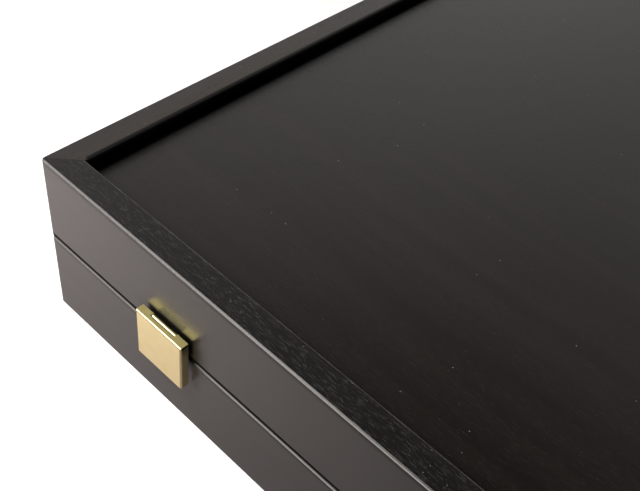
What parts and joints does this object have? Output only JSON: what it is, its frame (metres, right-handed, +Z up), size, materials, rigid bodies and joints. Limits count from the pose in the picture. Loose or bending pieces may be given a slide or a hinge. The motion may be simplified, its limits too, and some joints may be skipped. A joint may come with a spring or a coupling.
{
  "type": "folding backgammon board",
  "caption": "Folding wooden backgammon case of two hinged halves with recessed panels, inlaid points and checker racks inside, shut by square swinging box latches.",
  "frame": {"origin": "centre of the whole closed object's footprint, latch covers and hinge knuckles included, on the surface that it stands on", "axes": "+X along the long latch side, +Y from the latches in front to the hinges behind, +Z up, case closed"},
  "size_m": [0.48, 0.3066, 0.07],
  "materials": {
    "case_wood": "dark stained open-grained wood, satin lacquer on the sides, nearly matt on the rims",
    "panel_wood": "dark stained veneer, satin lacquer",
    "rack_wood": "dark stained wood, satin lacquer",
    "light_veneer": "light oak veneer, satin lacquer",
    "dark_veneer": "red-brown mahogany veneer, satin lacquer",
    "brass": "plain satin brass",
    "latch_brass": "pale brass, finely bead-blasted face and polished edges",
    "fastener_brass": "bright turned brass",
    "light_checker": "turned light oak, waxed",
    "dark_checker": "turned dark walnut, waxed",
    "dice": "polished ivory-coloured resin with dark drilled pips"
  },
  "bodies": {
    "base": {"base_front_rail": "case_wood", "base_back_rail": "case_wood", "base_left_rail": "case_wood", "base_right_rail": "case_wood", "base_panel": "panel_wood", "base_points_light": "light_veneer", "base_points_dark": "dark_veneer", "base_rack_rail": "rack_wood", "base_rack_block": "rack_wood", "hinge_left_base_leaf": "brass", "hinge_right_base_leaf": "brass", "hinge_left_pin": "fastener_brass", "hinge_right_pin": "fastener_brass", "hinge_base_screws": "fastener_brass", "latch_left_catch": "brass", "latch_right_catch": "brass", "latch_catch_screws": "fastener_brass", "checkers_light": "light_checker", "checkers_dark": "dark_checker", "dice": "dice"},
    "lid": {"lid_front_rail": "case_wood", "lid_back_rail": "case_wood", "lid_left_rail": "case_wood", "lid_right_rail": "case_wood", "lid_panel": "panel_wood", "lid_points_light": "light_veneer", "lid_points_dark": "dark_veneer", "lid_rack_rail": "rack_wood", "lid_rack_block": "rack_wood", "hinge_left_lid_leaf": "brass", "hinge_right_lid_leaf": "brass", "hinge_lid_screws": "fastener_brass", "latch_left_plate": "brass", "latch_right_plate": "brass", "latch_left_pin": "fastener_brass", "latch_right_pin": "fastener_brass", "latch_plate_screws": "fastener_brass"},
    "latch_left": {"latch_left_cover": "latch_brass"},
    "latch_right": {"latch_right_cover": "latch_brass"}
  },
  "joints": [
    {"name": "lid_hinge", "type": "hinge", "parent": "base", "child": "lid", "pos_m": [0, 0.15115, 0.035], "axis": [-1, 0, 0], "range_deg": [0, 180]},
    {"name": "latch_left_swing", "type": "hinge", "parent": "lid", "child": "latch_left", "pos_m": [-0.1775, -0.15065, 0.0432], "axis": [-1, 0, 0], "range_deg": [0, 105]},
    {"name": "latch_right_swing", "type": "hinge", "parent": "lid", "child": "latch_right", "pos_m": [0.1775, -0.15065, 0.0432], "axis": [-1, 0, 0], "range_deg": [0, 105]}
  ]
}
